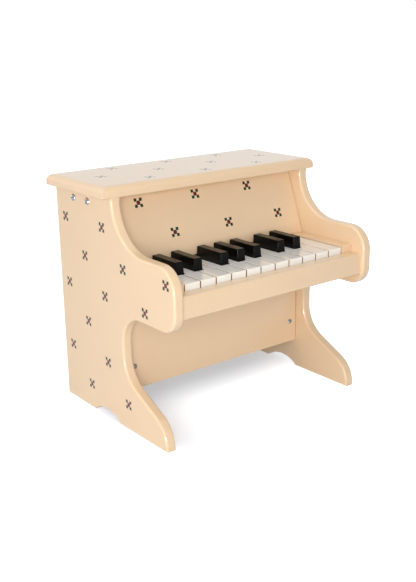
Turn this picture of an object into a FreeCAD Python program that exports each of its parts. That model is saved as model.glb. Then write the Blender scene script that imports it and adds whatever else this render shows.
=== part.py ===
import FreeCAD
import Part
import math
import os

from FreeCAD import Vector

# A child's table-top upright piano: a lacquered board cabinet, eighteen wooden keys on one steel rod,
# and behind them eighteen hammers that swing back against eighteen hanging steel tone rods.
# Millimetres. The origin is on the floor in the middle of the piano, +Z is up, -Y is towards the
# player and +X is to the player's right. "Depth" is measured forwards from the rear edge of the sides.

# Cabinet
side_thickness = 12.0
side_depth = 224.0
headroom = 16.5
edge_bevel = 1.7
lid_thickness = 12.0
lid_side_overhang = 10.0
lid_front_overhang = 1.0
lid_rear_overhang = 2.0
lid_top_round = 7.0

# Outline of a side, from the lid down the front to the floor
arm_reach = 107.5
shoulder_radius = 54.5
nose_radius = 27.0
chin_radius = 21.0
arm_drop = 14.0
arm_overhang = 96.0
knee_radius = 32.0
waist_run = 14.0
foot_sweep_radius = 40.0
foot_setback = 19.5
toe_radius = 38.0
foot_curve_share = 0.98
arch_rear_depth = 62.0
arch_front_depth = 115.0
arch_height = 8.0

# Boards between the sides
keybed_height = 146.0
keybed_thickness = 8.0
slip_setback = 4.5
slip_thickness = 15.0
slip_height = 24.2
slip_round = 2.0
upper_panel_thickness = 6.0
upper_panel_key_gap = 4.1
upper_panel_top_setback = 20.5
knee_panel_thickness = 6.0
knee_panel_setback = 13.5
knee_panel_height = 36.0
back_panel_thickness = 4.0
top_rail_thickness = 20.0
top_rail_front_gap = 7.6
top_rail_rear_gap = 12.0
knee_cleat_width = 20.0
knee_cleat_thickness = 16.0
rear_cleat_thickness = 10.0
cleat_end_gap = 10.0

# Keys
white_pitch = 20.4
key_gap = 1.3
key_thickness = 13.0
key_lift = 10.1
key_front_gap = 0.9
key_bevel = 0.6
pivot_setback = 71.5
key_dip = 6.0
black_side_gap = 1.1
black_side_inset = 0.3
black_height = 13.0
black_length = 43.3
black_setback = 32.2
black_front_inset = 0.8
black_rear_inset = 0.4
black_bevel = 0.6
notch_clearance = 2.0
key_block_width = 14.85
key_block_rise = 2.1
key_block_rear_margin = 13.0
key_block_gap = 0.95
key_block_round = 0.8

# Steel rods that the keys and hammers turn on
balance_rod_radius = 2.0
balance_rod_seat_share = 0.5
hammer_rod_radius = 1.5
running_clearance = 0.06
seat_clearance = 0.03

# Felt that the keys rest on and stop against
felt_thickness = 3.0
rest_rail_width = 16.0
rest_setback = 14.0
stop_felt_width = 10.0
stop_setback = 10.0
stop_clearance = 0.2

# Hammers
hammer_thickness = 6.0
heel_reach = 15.0
heel_overlap = 9.0
heel_thickness = 4.0
heel_drop = 5.0
heel_gap = 0.4
hub_radius = 4.6
shank_width = 4.0
head_height = 36.0
head_reach = 9.0
head_depth = 8.0
head_bevel = 2.0

# Comb that carries the hammer rod
comb_width = 14.0
comb_base_drop = 9.0
finger_gap = 1.15
finger_rise = 4.5
finger_bevel = 2.0

# Tone rods and the metal block that they hang from
tone_rod_radius = 2.0
tone_rod_floor_gap = 11.9
tone_rod_socket = 8.0
let_off_gap = 1.0
strike_drop = 8.0
tone_block_width = 12.0
tone_block_height = 12.0
tone_block_margin = 8.0

# Pan-head screws
side_screw_head_radius = 4.0
side_screw_head_height = 2.4
side_screw_shank_radius = 2.0
side_screw_length = 32.0
side_screw_spacing_share = 0.54
small_screw_head_radius = 3.0
small_screw_head_height = 1.7
small_screw_shank_radius = 1.5
small_screw_length = 12.0
knee_screw_inset = 10.5
knee_screw_rise = 27.0
back_screw_inset = 15.0
screw_bevel_share = 0.6
screw_clearance = 0.1

# Small round things that repeat are drawn with flats
fine_flat_count = 16
coarse_flat_count = 8

# Length by which a cut passes the faces that it opens, and the distance at which two places count as one
overrun = 1.0
match_tolerance = 0.001

# Runs of white and black keys, from the left, whose tails share their run's width evenly
key_runs = ("WBWBW", "WBWBWBW", "WBWBW", "W")
octave_note_count = 12

# Among the gaps between neighbouring tone rods, the first that takes a screw, and how many on to the next
first_tone_screw_index = 1
tone_screw_gap_count = 5

# Places and sizes that follow from these
white_count = "".join(key_runs).count("W")
keyboard_half = white_count * white_pitch / 2
key_block_inner = keyboard_half + key_block_gap
inner_half = key_block_inner + key_block_width
body_width = 2 * (inner_half + side_thickness)
narrowest_tail = min(run.count("W") * white_pitch / len(run) for run in key_runs)
black_width = narrowest_tail + key_gap - 2 * black_side_gap
black_top_width = black_width - 2 * black_side_inset
finger_thickness = narrowest_tail - hammer_thickness - 2 * finger_gap
rear_y = (side_depth - lid_rear_overhang) / 2
side_top_depth = side_depth - arm_reach
waist_depth = side_depth - arm_overhang
foot_depth = side_depth - foot_setback
arm_underside_height = keybed_height - arm_drop
foot_sweep_height = arm_underside_height - knee_radius - waist_run
keybed_top = keybed_height + keybed_thickness
key_bottom = keybed_top + key_lift
key_top = key_bottom + key_thickness
key_block_top = key_top + key_block_rise
slip_front = side_depth - slip_setback
slip_rear = slip_front - slip_thickness
key_front = slip_rear - key_front_gap
pivot_depth = key_front - pivot_setback
pivot_height = key_bottom + key_thickness / 2
black_front = key_front - black_setback
notch_depth = black_front + notch_clearance
tone_rod_depth = back_panel_thickness + tone_block_width / 2
hammer_depth = tone_rod_depth + tone_rod_radius + let_off_gap + head_reach
hammer_height = key_top + heel_gap + heel_drop
key_tail = hammer_depth + heel_reach
tone_block_bottom = hammer_height + head_height + strike_drop
tone_block_top = tone_block_bottom + tone_block_height
longest_tone_rod = tone_block_bottom - keybed_top - tone_rod_floor_gap
comb_base_top = hammer_height - comb_base_drop
cabinet_height = tone_block_top + headroom
knee_panel_depth = waist_depth - knee_panel_setback
knee_panel_rear = knee_panel_depth - knee_panel_thickness
upper_panel_foot_depth = black_front - black_length - upper_panel_key_gap
upper_panel_top_depth = side_top_depth - upper_panel_top_setback
upper_panel_lean = math.atan2(upper_panel_foot_depth - upper_panel_top_depth, cabinet_height - key_block_top)
upper_panel_cut = upper_panel_thickness / math.cos(upper_panel_lean)
top_rail_bottom = cabinet_height - top_rail_thickness
top_rail_rear = back_panel_thickness + tone_block_width + top_rail_rear_gap
top_rail_front = upper_panel_top_depth - upper_panel_cut - top_rail_front_gap
side_screw_height = top_rail_bottom + top_rail_thickness / 2
key_angle = math.asin(key_dip / pivot_setback)


def hammer_throw():
    """The angle that a fully pressed key lifts its hammer through: the heel's underside, a line that keeps
    its distance from the hammer rod, comes to lie over the raised upper edge of the key's tail."""
    back = pivot_depth - key_tail
    up = key_thickness / 2
    raised_back = back * math.cos(key_angle) - up * math.sin(key_angle)
    raised_up = back * math.sin(key_angle) + up * math.cos(key_angle)
    forward = pivot_depth - raised_back - hammer_depth
    upward = pivot_height + raised_up + heel_gap - hammer_height
    return math.atan2(upward, forward) + math.asin(heel_drop / math.hypot(forward, upward))


hammer_angle = hammer_throw()


def at(x, depth, z):
    """A point given by its depth in front of the sides' rear edge."""
    return Vector(x, rear_y - depth, z)


def span(a, b):
    return min(a, b), max(a, b)


def near(a, b):
    return abs(a - b) < match_tolerance


def board(x_range, depth_range, z_range):
    """A rectangular board between two places in each direction."""
    corner = at(x_range[0], depth_range[1], z_range[0])
    width, length, height = (high - low for low, high in (x_range, depth_range, z_range))
    return Part.makeBox(width, length, height, corner)


def bar_x(radius, x_range, depth, z):
    return Part.makeCylinder(radius, x_range[1] - x_range[0], at(x_range[0], depth, z), Vector(1, 0, 0))


def faceted_bar(radius, flats, start, axis, length):
    """A straight bar of regular section, whose flats touch a round bar of the same radius."""
    corner_radius = radius / math.cos(math.pi / flats)
    turns = [(n + 0.5) * 2 * math.pi / flats for n in range(flats)]
    corners = [Vector(corner_radius * math.cos(turn), corner_radius * math.sin(turn), 0) for turn in turns]
    bar = Part.Face(Part.makePolygon(corners + corners[:1])).extrude(Vector(0, 0, length))
    bar.Placement = FreeCAD.Placement(start, FreeCAD.Rotation(Vector(0, 0, 1), axis))
    return bar


def prism_x(points, x_range):
    """A flat outline of (depth, z) points, carried across from one x to another."""
    wire = Part.makePolygon([at(x_range[0], depth, z) for depth, z in points + points[:1]])
    return Part.Face(wire).extrude(Vector(x_range[1] - x_range[0], 0, 0))


def edges_where(shape, test):
    """Edges whose two ends both pass a test of their places."""
    return [edge for edge in shape.Edges if all(test(vertex.Point) for vertex in edge.Vertexes)]


def pan_screw(head_radius, head_height, shank_radius, length, flats, seat, outward):
    """One pan-head screw: a bevelled head standing on its seat, and a plain shank behind it."""
    up = Vector(0, 0, 1)
    head = faceted_bar(head_radius, flats, Vector(0, 0, 0), up, head_height)
    rim = edges_where(head, lambda point: near(point.z, head_height))
    head = head.makeChamfer(head_height * screw_bevel_share, rim)
    shank = faceted_bar(shank_radius, flats, Vector(0, 0, -length), up, length)
    screw = head.fuse(shank)
    screw.Placement = FreeCAD.Placement(seat, FreeCAD.Rotation(up, outward))
    return screw


def small_screws(seats, outward):
    """Equal small screws, all driven the same way."""
    return Part.makeCompound(
        [
            pan_screw(
                small_screw_head_radius,
                small_screw_head_height,
                small_screw_shank_radius,
                small_screw_length,
                coarse_flat_count,
                seat,
                outward,
            )
            for seat in seats
        ]
    )


def small_screw_hole(x, depth_range, z):
    rear, front = depth_range
    radius = small_screw_shank_radius + screw_clearance
    return faceted_bar(radius, coarse_flat_count, at(x, front, z), Vector(0, 1, 0), front - rear)


def side_screw_hole(x_range, depth):
    left, right = x_range
    start = at(left, depth, side_screw_height)
    radius = side_screw_shank_radius + screw_clearance
    return faceted_bar(radius, fine_flat_count, start, Vector(1, 0, 0), right - left)


def arc_about(x, centre, radius, start_deg, end_deg):
    """An arc in the plane of a side. Angles turn from straight forwards towards straight up."""

    def point(angle_deg):
        turn = math.radians(angle_deg)
        return at(x, centre[0] + radius * math.cos(turn), centre[1] + radius * math.sin(turn))

    return Part.Arc(point(start_deg), point((start_deg + end_deg) / 2), point(end_deg)).toShape()


def side_outline(x):
    """The outline of a side: shoulder, arm, knee notch, foot, floor arch and straight back."""
    arm_top = cabinet_height - shoulder_radius
    shoulder = (side_top_depth + shoulder_radius, cabinet_height)
    nose = (side_depth - nose_radius, arm_top - nose_radius)
    chin = (side_depth - chin_radius, arm_underside_height + chin_radius)
    knee = (waist_depth + knee_radius, arm_underside_height - knee_radius)
    # The foot's two curves stay small enough for a straight run that touches both
    foot_reach = foot_depth - waist_depth
    largest_sum = (foot_sweep_height**2 / foot_reach + foot_reach) / 2 * foot_curve_share
    fit = min(1, largest_sum / (foot_sweep_radius + toe_radius))
    sweep_radius, tip_radius = foot_sweep_radius * fit, toe_radius * fit
    sweep = (waist_depth + sweep_radius, foot_sweep_height)
    toe = (foot_depth - tip_radius, 0)
    between = math.hypot(sweep[0] - toe[0], sweep[1] - toe[1])
    lead = math.atan2(sweep[0] - toe[0], sweep[1] - toe[1])
    slope_deg = math.degrees(lead + math.acos((sweep_radius + tip_radius) / between))
    arch_middle = (arch_front_depth + arch_rear_depth) / 2
    arcs = [
        arc_about(x, shoulder, shoulder_radius, 180, 270),
        arc_about(x, nose, nose_radius, 90, 0),
        arc_about(x, chin, chin_radius, 0, -90),
        arc_about(x, knee, knee_radius, 90, 180),
        arc_about(x, sweep, sweep_radius, 180, 270 - slope_deg),
        arc_about(x, toe, tip_radius, 90 - slope_deg, 0),
        Part.Arc(
            at(x, arch_front_depth, 0), at(x, arch_middle, arch_height), at(x, arch_rear_depth, 0)
        ).toShape(),
    ]
    floor_corner, top_corner = at(x, 0, 0), at(x, 0, cabinet_height)
    edges = [Part.LineSegment(floor_corner, top_corner).toShape()]
    last = top_corner
    for arc in arcs:
        start, end = arc.valueAt(arc.FirstParameter), arc.valueAt(arc.LastParameter)
        if last.distanceToPoint(start) > match_tolerance:
            edges.append(Part.LineSegment(last, start).toShape())
        edges.append(arc)
        last = end
    edges.append(Part.LineSegment(last, floor_corner).toShape())
    return Part.Wire(edges)


def side_screw_depths():
    middle = (top_rail_front + top_rail_rear) / 2
    spacing = (top_rail_front - top_rail_rear) * side_screw_spacing_share
    return middle - spacing / 2, middle + spacing / 2


def side(hand):
    """One side board, eased along its front and back edges; hand is -1 for the left and 1 for the right."""
    x_range = span(hand * inner_half, hand * body_width / 2)
    solid = Part.Face(side_outline(x_range[0])).extrude(Vector(side_thickness, 0, 0))

    def eased(edge):
        box = edge.BoundBox
        on_face = near(box.XMin, box.XMax)
        on_floor_or_arch = near(box.ZMin, 0) and box.ZMax < arch_height + match_tolerance
        under_lid = near(box.ZMin, cabinet_height)
        return on_face and not on_floor_or_arch and not under_lid

    solid = solid.makeChamfer(edge_bevel, [edge for edge in solid.Edges if eased(edge)])
    reach = (x_range[0] - overrun, x_range[1] + overrun)
    for depth in side_screw_depths():
        solid = solid.cut(side_screw_hole(reach, depth))
    return solid


def lid():
    """The lid: a board with a generous round along its top edges, proud of the sides."""
    half = body_width / 2 + lid_side_overhang
    top = cabinet_height + lid_thickness
    depths = (-lid_rear_overhang, side_top_depth + lid_front_overhang)
    solid = board((-half, half), depths, (cabinet_height, top))
    return solid.makeFillet(lid_top_round, edges_where(solid, lambda point: near(point.z, top)))


def upper_panel():
    """The leaning panel above the keys, standing on the key blocks and closing up to the lid."""
    outline = [
        (upper_panel_foot_depth, key_block_top),
        (upper_panel_foot_depth - upper_panel_cut, key_block_top),
        (upper_panel_top_depth - upper_panel_cut, cabinet_height),
        (upper_panel_top_depth, cabinet_height),
    ]
    return prism_x(outline, (-inner_half, inner_half))


def knee_screw_places():
    x = inner_half - knee_screw_inset
    z = knee_panel_height + knee_screw_rise
    return [(-x, z), (x, z)]


def knee_panel():
    """The upright panel under the key bed, screwed through near its lower corners."""
    depths = (knee_panel_rear, knee_panel_depth)
    solid = board((-inner_half, inner_half), depths, (knee_panel_height, keybed_height))
    for x, z in knee_screw_places():
        solid = solid.cut(small_screw_hole(x, (knee_panel_rear - overrun, knee_panel_depth + overrun), z))
    return solid


def rear_cleat_heights():
    """The lower and upper ends of the two rear strips, below the key bed and above it."""
    lower = (knee_panel_height + cleat_end_gap, keybed_height)
    upper = (keybed_top, tone_block_bottom - cleat_end_gap)
    return lower, upper


def back_screw_places():
    """Near both ends of the lower rear strips and near the top of the upper ones."""
    x = inner_half - key_block_width / 2
    lower, upper = rear_cleat_heights()
    heights = (lower[0] + back_screw_inset, lower[1] - back_screw_inset, upper[1] - back_screw_inset)
    return [(hand * x, z) for hand in (-1, 1) for z in heights]


def tone_screw_places(keys):
    gaps = key_gap_centres(keys)[first_tone_screw_index::tone_screw_gap_count]
    return [(x, tone_block_bottom + tone_block_height / 2) for x in gaps]


def back_panel(keys):
    """The thin back, let in between the sides; it is also the soundboard that carries the tone block."""
    solid = board((-inner_half, inner_half), (0, back_panel_thickness), (knee_panel_height, cabinet_height))
    for x, z in back_screw_places() + tone_screw_places(keys):
        solid = solid.cut(small_screw_hole(x, (-overrun, back_panel_thickness + overrun), z))
    return solid


def key_slip():
    """The rail in front of the keys, with its long front edges rounded."""
    heights = (keybed_height, keybed_height + slip_height)
    solid = board((-inner_half, inner_half), (slip_rear, slip_front), heights)
    front = edges_where(solid, lambda point: near(point.y, rear_y - slip_front))
    return solid.makeFillet(slip_round, [edge for edge in front if near(edge.Length, 2 * inner_half)])


def key_bed():
    return board((-inner_half, inner_half), (back_panel_thickness, slip_rear), (keybed_height, keybed_top))


def balance_rod_half():
    return key_block_inner + key_block_width * balance_rod_seat_share


def key_block(hand):
    """The block that closes one end of the keyboard and holds that end of the balance rod."""
    inner = hand * key_block_inner
    rear = upper_panel_foot_depth - upper_panel_cut - key_block_rear_margin
    solid = board(span(inner, hand * inner_half), (rear, slip_rear), (keybed_top, key_block_top))
    top = edges_where(solid, lambda point: near(point.z, key_block_top) and near(point.x, inner))
    solid = solid.makeFillet(key_block_round, top)
    bore = span(inner - hand * overrun, hand * balance_rod_half())
    return solid.cut(bar_x(balance_rod_radius + seat_clearance, bore, pivot_depth, pivot_height))


def balance_rod():
    half = balance_rod_half()
    return bar_x(balance_rod_radius, (-half, half), pivot_depth, pivot_height)


def top_rail():
    """The rail under the lid that ties the tops of the sides together."""
    depths = (top_rail_rear, top_rail_front)
    solid = board((-inner_half, inner_half), depths, (top_rail_bottom, cabinet_height))
    tip = body_width / 2 - side_screw_length - screw_clearance
    for hand in (-1, 1):
        bore = span(hand * tip, hand * (inner_half + overrun))
        for depth in side_screw_depths():
            solid = solid.cut(side_screw_hole(bore, depth))
    return solid


def knee_cleat(hand):
    """A softwood strip in the corner behind the knee panel."""
    x_range = span(hand * inner_half, hand * (inner_half - knee_cleat_width))
    depths = (knee_panel_rear - knee_cleat_thickness, knee_panel_rear)
    solid = board(x_range, depths, (knee_panel_height + cleat_end_gap, keybed_height))
    tip = knee_panel_depth - small_screw_length - screw_clearance
    for x, z in knee_screw_places():
        solid = solid.cut(small_screw_hole(x, (tip, knee_panel_rear + overrun), z))
    return solid


def rear_cleats(hand):
    """Two softwood strips in a rear corner, one below the key bed and one from it up to the tone block."""
    x_range = span(hand * inner_half, hand * key_block_inner)
    depths = (back_panel_thickness, back_panel_thickness + rear_cleat_thickness)
    strips = []
    for z_range in rear_cleat_heights():
        solid = board(x_range, depths, z_range)
        for x, z in back_screw_places():
            reach = (back_panel_thickness - overrun, small_screw_length + screw_clearance)
            solid = solid.cut(small_screw_hole(x, reach, z))
        strips.append(solid)
    return strips


def corner_cleats():
    strips = [knee_cleat(-1), knee_cleat(1)] + rear_cleats(-1) + rear_cleats(1)
    return Part.makeCompound(strips)


def rest_strip(z_range):
    """A strip across under the key tails, between two heights."""
    depth = key_tail + rest_setback
    depths = (depth - rest_rail_width / 2, depth + rest_rail_width / 2)
    return board((-keyboard_half, keyboard_half), depths, z_range)


def front_stop_felt():
    """Felt on the key bed, just lower than the underside of a fully pressed key."""
    front = key_front - stop_setback + stop_felt_width / 2
    drop = (front - pivot_depth) * math.sin(key_angle)
    top = key_bottom - drop - stop_clearance
    return board((-keyboard_half, keyboard_half), (front - stop_felt_width, front), (keybed_top, top))


def key_layout():
    """Each key in turn from the left: its kind, its tail's two edges and, if white, its head's two edges."""
    keys = []
    run_left = head_left = -keyboard_half
    for run in key_runs:
        run_width = run.count("W") * white_pitch
        tail_pitch = run_width / len(run)
        for index, kind in enumerate(run):
            tail_left = run_left + index * tail_pitch
            key = {"kind": kind, "tail": (tail_left, tail_left + tail_pitch)}
            if kind == "W":
                key["head"] = (head_left, head_left + white_pitch)
                head_left += white_pitch
            keys.append(key)
        run_left += run_width
    return keys


def key_centre(key):
    return sum(key["tail"]) / 2


def key_gap_centres(keys):
    """The places half way between each two neighbouring key tails."""
    centres = [key_centre(key) for key in keys]
    return [(left + right) / 2 for left, right in zip(centres, centres[1:])]


def key_bore():
    half = keyboard_half + overrun
    return bar_x(balance_rod_radius + running_clearance, (-half, half), pivot_depth, pivot_height)


def white_key(key):
    """A white key: a wide head in front, and a tail that passes between the black keys."""
    head = (key["head"][0] + key_gap / 2, key["head"][1] - key_gap / 2)
    tail = (key["tail"][0] + key_gap / 2, key["tail"][1] - key_gap / 2)
    heights = (key_bottom, key_top)
    solid = board(head, (notch_depth, key_front), heights)
    solid = solid.fuse(board(tail, (key_tail, notch_depth), heights)).removeSplitter()
    front_y = rear_y - key_front

    def eased(edge):
        box = edge.BoundBox
        on_top = near(box.ZMin, key_top) and near(box.YMin, front_y)
        front_corner = near(box.YMax, front_y) and near(box.XMin, box.XMax)
        return on_top or front_corner

    solid = solid.makeChamfer(key_bevel, [edge for edge in solid.Edges if eased(edge)])
    return solid.cut(key_bore())


def black_key(key):
    """A black key: a straight lever with a raised, slightly tapering block on its front."""
    x = key_centre(key)
    half = black_width / 2
    top_half = black_top_width / 2
    rear = black_front - black_length
    top = key_top + black_height
    lever = board((x - half, x + half), (key_tail, black_front), (key_bottom, key_top))

    # The wedge is drawn lying forwards, with its height along Y, and then stood up
    block = Part.makeWedge(
        x - half,
        key_top,
        rear - rear_y,
        rear + black_rear_inset - rear_y,
        x - top_half,
        x + half,
        top,
        black_front - rear_y,
        black_front - black_front_inset - rear_y,
        x + top_half,
    )
    block.rotate(Vector(0, 0, 0), Vector(1, 0, 0), 90)
    block = block.makeChamfer(black_bevel, edges_where(block, lambda point: near(point.z, top)))
    return lever.fuse(block).removeSplitter().cut(key_bore())


def hammer_point(along, back):
    """A place on the resting hammer: along its leaning shank from the rod, and back from the shank's line."""
    forward, up = math.sin(hammer_angle), math.cos(hammer_angle)
    return hammer_depth + along * forward - back * up, hammer_height + along * up + back * forward


def hammer(key):
    """One moulded hammer: a hub on the rod, a heel lying over the key's tail, a shank and a head."""
    x = key_centre(key)
    x_range = (x - hammer_thickness / 2, x + hammer_thickness / 2)
    heel_low = hammer_height - heel_drop
    heel_end = hammer_depth + heel_reach + heel_overlap
    heel = [
        (hammer_depth, heel_low),
        (heel_end, heel_low),
        (heel_end, heel_low + heel_thickness),
        (hammer_depth, heel_low + heel_thickness),
    ]
    head_low = head_height - head_depth / 2
    head_high = head_height + head_depth / 2
    half_shank = shank_width / 2
    shank = [
        hammer_point(0, -half_shank),
        hammer_point(head_high, -half_shank),
        hammer_point(head_high, head_reach - head_bevel),
        hammer_point(head_high - head_bevel, head_reach),
        hammer_point(head_low + head_bevel, head_reach),
        hammer_point(head_low, head_reach - head_bevel),
        hammer_point(head_low, half_shank),
        hammer_point(0, half_shank),
    ]
    hub_start = at(x_range[0], hammer_depth, hammer_height)
    solid = faceted_bar(hub_radius, coarse_flat_count, hub_start, Vector(1, 0, 0), hammer_thickness)
    for outline in (heel, shank):
        solid = solid.fuse(prism_x(outline, x_range))
    bore_start = at(x_range[0] - overrun, hammer_depth, hammer_height)
    bore_radius = hammer_rod_radius + running_clearance
    bore_length = hammer_thickness + 2 * overrun
    bore = faceted_bar(bore_radius, coarse_flat_count, bore_start, Vector(1, 0, 0), bore_length)
    return solid.removeSplitter().cut(bore)


def finger_centres(keys):
    """Places of the comb's fingers: one between each two hammers and one outside each end hammer."""
    gaps = key_gap_centres(keys)
    beside = gaps[0] - key_centre(keys[0])
    return [key_centre(keys[0]) - beside] + gaps + [key_centre(keys[-1]) + beside]


def comb_ends(keys):
    places = finger_centres(keys)
    return places[0] - finger_thickness / 2, places[-1] + finger_thickness / 2


def hammer_comb(keys):
    """The comb behind the keys: a base on the key bed, with slotted fingers that the hammer rod lies in."""
    rear, front = hammer_depth - comb_width / 2, hammer_depth + comb_width / 2
    top = hammer_height + finger_rise
    base = board(comb_ends(keys), (rear, front), (keybed_top, comb_base_top))
    slot_half = hammer_rod_radius + seat_clearance
    slot_rear, slot_front = hammer_depth - slot_half, hammer_depth + slot_half
    slot_floor = hammer_height - slot_half
    outline = [
        (rear, comb_base_top),
        (front, comb_base_top),
        (front - finger_bevel, top),
        (slot_front, top),
        (slot_front, slot_floor),
        (slot_rear, slot_floor),
        (slot_rear, top),
        (rear + finger_bevel, top),
    ]
    half = finger_thickness / 2
    fingers = [prism_x(outline, (x - half, x + half)) for x in finger_centres(keys)]
    return base.multiFuse(fingers).removeSplitter()


def hammer_rod(keys):
    return bar_x(hammer_rod_radius, comb_ends(keys), hammer_depth, hammer_height)


def tone_block(keys):
    """The metal block on the soundboard, with a socket in its underside for each tone rod."""
    x_range = (key_centre(keys[0]) - tone_block_margin, key_centre(keys[-1]) + tone_block_margin)
    depths = (back_panel_thickness, back_panel_thickness + tone_block_width)
    solid = board(x_range, depths, (tone_block_bottom, tone_block_top))
    reach = (back_panel_thickness - overrun, small_screw_length + screw_clearance)
    holes = [small_screw_hole(x, reach, z) for x, z in tone_screw_places(keys)]
    for key in keys:
        mouth = at(key_centre(key), tone_rod_depth, tone_block_bottom - overrun)
        holes.append(tone_rod(tone_rod_radius + seat_clearance, mouth, tone_rod_socket + overrun))
    return solid.cut(Part.makeCompound(holes))


def tone_rod(radius, low_end, length):
    return faceted_bar(radius, coarse_flat_count, low_end, Vector(0, 0, 1), length)


def tone_rods(keys):
    """The row of hanging rods: a note an octave higher has a rod shorter by the square root of two."""
    rods = []
    for index, key in enumerate(keys):
        length = longest_tone_rod * 2 ** (-index / (2 * octave_note_count))
        low_end = at(key_centre(key), tone_rod_depth, tone_block_bottom - length)
        rods.append(tone_rod(tone_rod_radius, low_end, length + tone_rod_socket))
    return Part.makeCompound(rods)


def side_screws():
    """The two large screws through the top of each side into the ends of the top rail."""
    screws = []
    for hand in (-1, 1):
        for depth in side_screw_depths():
            screw = pan_screw(
                side_screw_head_radius,
                side_screw_head_height,
                side_screw_shank_radius,
                side_screw_length,
                fine_flat_count,
                at(hand * body_width / 2, depth, side_screw_height),
                Vector(hand, 0, 0),
            )
            screws.append(screw)
    return Part.makeCompound(screws)


def screws_from_front(places):
    return small_screws([at(x, knee_panel_depth, z) for x, z in places], Vector(0, -1, 0))


def screws_from_behind(places):
    return small_screws([at(x, 0, z) for x, z in places], Vector(0, 1, 0))


def build():
    keys = key_layout()
    parts = {
        "left_side": side(-1),
        "right_side": side(1),
        "lid": lid(),
        "upper_panel": upper_panel(),
        "knee_panel": knee_panel(),
        "back_panel": back_panel(keys),
        "key_slip": key_slip(),
        "key_bed": key_bed(),
        "left_key_block": key_block(-1),
        "right_key_block": key_block(1),
        "top_rail": top_rail(),
        "corner_cleats": corner_cleats(),
        "balance_rod": balance_rod(),
        "key_rest_rail": rest_strip((keybed_top, key_bottom - felt_thickness)),
        "key_rest_felt": rest_strip((key_bottom - felt_thickness, key_bottom)),
        "front_stop_felt": front_stop_felt(),
        "hammer_comb": hammer_comb(keys),
        "hammer_rod": hammer_rod(keys),
        "tone_block": tone_block(keys),
        "tone_rods": tone_rods(keys),
        "side_screws": side_screws(),
        "knee_panel_screws": screws_from_front(knee_screw_places()),
        "back_panel_screws": screws_from_behind(back_screw_places()),
        "tone_block_screws": screws_from_behind(tone_screw_places(keys)),
    }
    makers = {"W": ("white_key", white_key), "B": ("black_key", black_key)}
    counts = {"W": 0, "B": 0}
    for index, key in enumerate(keys, 1):
        label, maker = makers[key["kind"]]
        counts[key["kind"]] += 1
        parts[f"{label}_{counts[key['kind']]:02d}"] = maker(key)
        parts[f"hammer_{index:02d}"] = hammer(key)
    return parts


def main():
    os.makedirs("parts", exist_ok=True)
    parts = build()
    for name, shape in parts.items():
        shape.exportStep(os.path.join("parts", name + ".step"))
    print(len(parts), "parts")
    print("key turns", round(math.degrees(key_angle), 4), "degrees about", at(0, pivot_depth, pivot_height))
    print("hammer turns", round(math.degrees(hammer_angle), 4), "about", at(0, hammer_depth, hammer_height))


main()
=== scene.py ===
import math

import bpy
import numpy as np
from mathutils import Matrix, Vector


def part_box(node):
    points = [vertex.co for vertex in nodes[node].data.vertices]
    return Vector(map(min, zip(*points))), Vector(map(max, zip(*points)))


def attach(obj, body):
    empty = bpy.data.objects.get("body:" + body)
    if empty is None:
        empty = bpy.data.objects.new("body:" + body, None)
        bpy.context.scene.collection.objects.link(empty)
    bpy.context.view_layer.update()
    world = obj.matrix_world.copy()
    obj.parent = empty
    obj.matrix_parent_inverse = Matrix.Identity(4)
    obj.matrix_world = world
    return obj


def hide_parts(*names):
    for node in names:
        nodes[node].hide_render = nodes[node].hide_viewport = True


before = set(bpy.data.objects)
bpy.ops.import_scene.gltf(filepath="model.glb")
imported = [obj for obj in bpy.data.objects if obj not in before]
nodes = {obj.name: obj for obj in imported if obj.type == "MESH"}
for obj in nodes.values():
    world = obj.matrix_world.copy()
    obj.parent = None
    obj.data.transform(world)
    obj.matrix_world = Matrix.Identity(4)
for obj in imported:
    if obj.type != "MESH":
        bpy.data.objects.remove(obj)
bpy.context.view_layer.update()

# Looks of a toy piano: a cream lacquered case, white and black keys, zinc screws.
# The boards, keys, screws and felts are drawn again with soft edges over the frame's own solids.

mm = 0.001
print("frame loaded:", len(nodes), "nodes")


def boxOf(name):
    low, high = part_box(name)
    return np.array(low), np.array(high)


# Mesh work

# A rectangle's corners, from its low corner round by way of the first axis, with a radius for each
def rectangle(low, high, radii):
    firsts = (low[0], high[0], high[0], low[0])
    seconds = (low[1], low[1], high[1], high[1])
    return list(zip(firsts, seconds, radii))


# Corner rows are across, up, radius. Each corner is swept by an arc that touches both of its edges: the arc's
# centre lies one radius from both, and its points turn about it from the first edge to the second.
def roundedLoop(corners, turnStep=math.radians(6)):
    corners = np.asarray(corners, float)
    at, radii = corners[:, :2], corners[:, 2]
    leave = np.roll(at, -1, 0) - at
    leave /= np.linalg.norm(leave, axis=1, keepdims=True)
    arrive = np.roll(leave, 1, 0)
    turns = np.arctan2(arrive[:, 0] * leave[:, 1] - arrive[:, 1] * leave[:, 0], (arrive * leave).sum(1))
    pieces = []
    for index, (radius, turn) in enumerate(zip(radii, turns)):
        if radius == 0:
            points = at[index][None]
        else:
            along = arrive[index]
            start = at[index] - along * radius * math.tan(abs(turn) / 2)
            middle = start + np.array([-along[1], along[0]]) * radius * np.sign(turn)
            angle = np.linspace(0, turn, int(abs(turn) / turnStep) + 3)
            cos, sin = np.cos(angle), np.sin(angle)
            across, up = start - middle
            points = middle + np.stack([cos * across - sin * up, sin * across + cos * up], 1)
        pieces.append(points)
    return np.concatenate(pieces)


# Every point moves inwards along the line that halves its corner, so that each edge moves by its inset
def pulledIn(loop, inset):
    edge = np.roll(loop, -1, 0) - loop
    edge /= np.linalg.norm(edge, axis=1, keepdims=True)
    inward = np.stack([-edge[:, 1], edge[:, 0]], 1)
    before = np.roll(inward, 1, 0)
    mitre = (before + inward) / (1 + (before * inward).sum(1, keepdims=True))
    return loop + np.asarray(inset)[..., None] * mitre


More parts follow.
